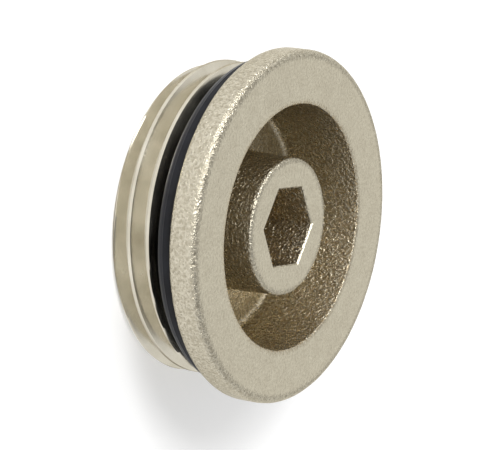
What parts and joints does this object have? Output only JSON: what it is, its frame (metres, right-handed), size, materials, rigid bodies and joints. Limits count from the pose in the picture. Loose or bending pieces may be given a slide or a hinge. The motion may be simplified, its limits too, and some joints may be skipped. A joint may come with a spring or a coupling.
{
  "type": "manifold plug",
  "caption": "Screw plug with a flanged round head, a ring recess round a hexagon key boss, a short parallel pipe thread and a rubber sealing ring behind the flange.",
  "frame": {"origin": "middle of the thread's end face, on which the plug stands", "axes": "+Z along the plug's axis towards the head, +X through a corner of the hexagon socket"},
  "size_m": [0.0374, 0.0374, 0.0118],
  "materials": {
    "nickel_plate": "nickel plated brass, blasted on the head and bright on the thread",
    "black_rubber": "moulded, satin black"
  },
  "bodies": {
    "root": {"plug_body": "nickel_plate", "sealing_ring": "black_rubber"}
  },
  "joints": []
}
